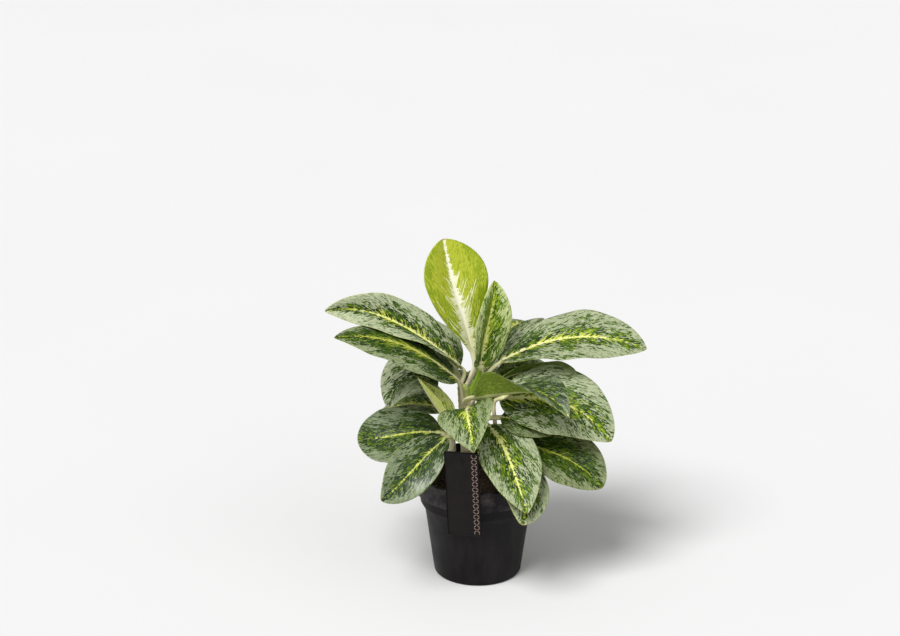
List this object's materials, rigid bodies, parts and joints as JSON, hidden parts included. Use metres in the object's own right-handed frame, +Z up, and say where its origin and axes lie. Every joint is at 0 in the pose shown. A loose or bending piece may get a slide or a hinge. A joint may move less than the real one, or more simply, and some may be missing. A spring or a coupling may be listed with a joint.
{
  "type": "potted foliage plant",
  "caption": "Bushy foliage plant with broad, mottled green leaves on short canes, in a round black nursery pot with a plain hang label.",
  "frame": {"origin": "middle of the pot's flat base, on the surface that it stands on", "axes": "+Z up along the pot's axis, -Y towards the front with the hang label, +X to the right seen from the front"},
  "size_m": [0.3014, 0.22, 0.3242],
  "materials": {
    "pot_plastic": "satin black, finely grained",
    "soil": "moist peat, crumbly",
    "label_card": "matt printed plastic card",
    "cane": "smooth living stem, satin",
    "leaf_grown": "waxy living leaf, satin, mottled silver and dark green",
    "leaf_new": "waxy living leaf, satin, lime with a white midrib"
  },
  "bodies": {
    "root": {"pot": "pot_plastic", "soil": "soil", "label": "label_card", "cane_main": "cane", "cane_left": "cane", "cane_right": "cane", "leaf_top_upright": "leaf_new", "leaf_top_folded": "leaf_new", "leaf_upper_left": "leaf_grown", "leaf_upper_left_lower": "leaf_grown", "leaf_upper_right": "leaf_grown", "leaf_front_folded": "leaf_grown", "leaf_right_wide": "leaf_grown", "leaf_front_right": "leaf_grown", "leaf_front_right_lower": "leaf_grown", "leaf_right_low": "leaf_grown", "leaf_right_under": "leaf_grown", "leaf_middle_dark": "leaf_grown", "leaf_left_wide": "leaf_grown", "leaf_front_left": "leaf_grown", "leaf_front_saddle": "leaf_grown", "leaf_left_behind": "leaf_grown", "leaf_left_young": "leaf_new", "leaf_back_right": "leaf_grown", "leaf_back_left": "leaf_grown", "leaf_back_middle": "leaf_grown", "leaf_side_right": "leaf_grown", "leaf_side_left": "leaf_grown", "leaf_low_back_right": "leaf_grown", "leaf_low_back_left": "leaf_grown"}
  },
  "joints": []
}
